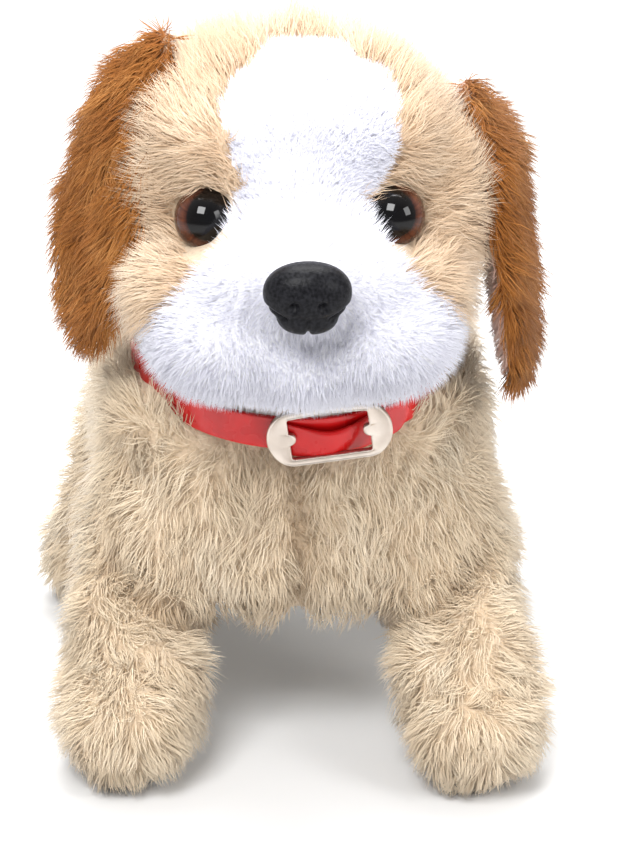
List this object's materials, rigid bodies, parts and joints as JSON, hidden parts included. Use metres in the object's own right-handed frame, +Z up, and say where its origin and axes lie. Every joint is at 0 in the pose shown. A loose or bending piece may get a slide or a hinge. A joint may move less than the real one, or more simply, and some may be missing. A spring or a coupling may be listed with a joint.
{
  "type": "interactive plush puppy",
  "caption": "Battery plush puppy on four swinging legs, with hanging ears, domed eyes, a nodding head, a wagging tail and a buckled strap collar over a plastic mechanism case.",
  "frame": {"origin": "on the floor under the middle of the puppy's length and width", "axes": "+Z up, the puppy faces -Y, its own left side is +X"},
  "size_m": [0.114, 0.172, 0.157],
  "materials": {
    "case_plastic": "moulded ABS, satin",
    "gear_plastic": "natural acetal",
    "switch_plastic": "black moulded plastic",
    "steel": "zinc-plated steel",
    "motor_steel": "plated can",
    "cell_jacket": "plain dark jacket",
    "board": "green solder mask",
    "components": "black packages",
    "speaker_body": "black frame",
    "beige_plush": "long beige pile",
    "white_plush": "short dense white pile",
    "brown_plush": "long golden brown pile",
    "eye_lens": "clear polished dome",
    "eye_disc": "dark brown iris, black pupil",
    "nose_plastic": "black satin grain",
    "red_strap": "glossy red vinyl",
    "buckle_metal": "polished warm nickel"
  },
  "bodies": {
    "chassis": {"case_left": "case_plastic", "case_right": "case_plastic", "case_screws": "steel", "battery_box": "case_plastic", "battery_cells": "cell_jacket", "battery_contacts": "steel", "battery_springs": "steel", "switch_housing": "case_plastic", "motor": "motor_steel", "motor_plate": "case_plastic", "gearbox_cover": "case_plastic", "gear_pins": "steel", "circuit_board": "board", "board_components": "components", "speaker": "speaker_body", "leg_screws": "steel", "neck_bracket": "case_plastic", "trunk_plush": "beige_plush", "collar_strap": "red_strap", "collar_buckle": "buckle_metal", "tail_bracket": "case_plastic", "tail_pin": "steel"},
    "door": {"battery_door": "case_plastic", "door_screw": "steel"},
    "switch": {"switch_knob": "switch_plastic"},
    "rotor": {"motor_shaft": "steel", "motor_pinion": "gear_plastic"},
    "first_gear": {"first_gear": "gear_plastic"},
    "second_gear": {"second_gear": "gear_plastic"},
    "crank": {"crank_gear": "gear_plastic", "crank_axle": "steel", "crank_left": "gear_plastic", "crank_right": "gear_plastic"},
    "front_left_leg": {"front_left_leg_arm": "case_plastic", "front_left_leg_plush": "beige_plush"},
    "front_right_leg": {"front_right_leg_arm": "case_plastic", "front_right_leg_plush": "beige_plush"},
    "rear_left_leg": {"rear_left_leg_arm": "case_plastic", "rear_left_leg_plush": "beige_plush"},
    "rear_right_leg": {"rear_right_leg_arm": "case_plastic", "rear_right_leg_plush": "beige_plush"},
    "head": {"neck_pin": "steel", "head_shell_rear": "case_plastic", "head_shell_front": "case_plastic", "head_screws": "steel", "eye_left": "eye_lens", "eye_right": "eye_lens", "eye_disc_left": "eye_disc", "eye_disc_right": "eye_disc", "head_plush": "beige_plush", "forehead_patch": "white_plush", "muzzle_plush": "white_plush", "nose": "nose_plastic"},
    "ear_left": {"ear_left": "brown_plush"},
    "ear_right": {"ear_right": "brown_plush"},
    "tail": {"tail_lever": "case_plastic", "tail_plush": "beige_plush"}
  },
  "joints": [
    {"name": "head_nod", "type": "hinge", "parent": "chassis", "child": "head", "pos_m": [0, -0.02, 0.092], "axis": [1, 0, 0], "range_deg": [-8, 8]},
    {"name": "front_left_leg_swing", "type": "hinge", "parent": "chassis", "child": "front_left_leg", "pos_m": [0.0316, -0.024, 0.05], "axis": [1, 0, 0], "range_deg": [-10, 10]},
    {"name": "front_right_leg_swing", "type": "hinge", "parent": "chassis", "child": "front_right_leg", "pos_m": [-0.0316, -0.024, 0.05], "axis": [1, 0, 0], "range_deg": [-10, 10]},
    {"name": "rear_left_leg_swing", "type": "hinge", "parent": "chassis", "child": "rear_left_leg", "pos_m": [0.0316, 0.036, 0.05], "axis": [1, 0, 0], "range_deg": [-10, 10]},
    {"name": "rear_right_leg_swing", "type": "hinge", "parent": "chassis", "child": "rear_right_leg", "pos_m": [-0.0316, 0.036, 0.05], "axis": [1, 0, 0], "range_deg": [-10, 10]},
    {"name": "tail_wag", "type": "hinge", "parent": "chassis", "child": "tail", "pos_m": [0, 0.054, 0.07], "axis": [0, 0, 1], "range_deg": [-20, 20]},
    {"name": "ear_left_swing", "type": "hinge", "parent": "head", "child": "ear_left", "pos_m": [0.0399, -0.023, 0.1475], "axis": [0, -1, 0], "range_deg": [0, 35]},
    {"name": "ear_right_swing", "type": "hinge", "parent": "head", "child": "ear_right", "pos_m": [-0.0344, -0.023, 0.155], "axis": [0, 1, 0], "range_deg": [0, 35]},
    {"name": "crank_spin", "type": "hinge", "parent": "chassis", "child": "crank", "pos_m": [0, 0.009, 0.068], "axis": [1, 0, 0], "continuous": true},
    {"name": "second_gear_spin", "type": "hinge", "parent": "chassis", "child": "second_gear", "pos_m": [0.015, -0.002, 0.068], "axis": [1, 0, 0], "continuous": true},
    {"name": "first_gear_spin", "type": "hinge", "parent": "chassis", "child": "first_gear", "pos_m": [0.0119, -0.012, 0.068], "axis": [1, 0, 0], "continuous": true},
    {"name": "motor_spin", "type": "hinge", "parent": "chassis", "child": "rotor", "pos_m": [0, -0.022, 0.068], "axis": [1, 0, 0], "continuous": true},
    {"name": "battery_door_swing", "type": "hinge", "parent": "chassis", "child": "door", "pos_m": [0, -0.0303, 0.0369], "axis": [-1, 0, 0], "range_deg": [0, 85]},
    {"name": "power_switch_slide", "type": "slide", "parent": "chassis", "child": "switch", "axis": [1, 0, 0], "range_m": [0, 0.003]}
  ],
  "couplings": [
    {"joint": "front_right_leg_swing", "follows": "front_left_leg_swing", "ratio": -1},
    {"joint": "rear_left_leg_swing", "follows": "front_left_leg_swing", "ratio": -1},
    {"joint": "rear_right_leg_swing", "follows": "front_left_leg_swing", "ratio": 1},
    {"joint": "second_gear_spin", "follows": "crank_spin", "ratio": -3.4},
    {"joint": "first_gear_spin", "follows": "crank_spin", "ratio": 10.2},
    {"joint": "motor_spin", "follows": "crank_spin", "ratio": -30.6}
  ]
}
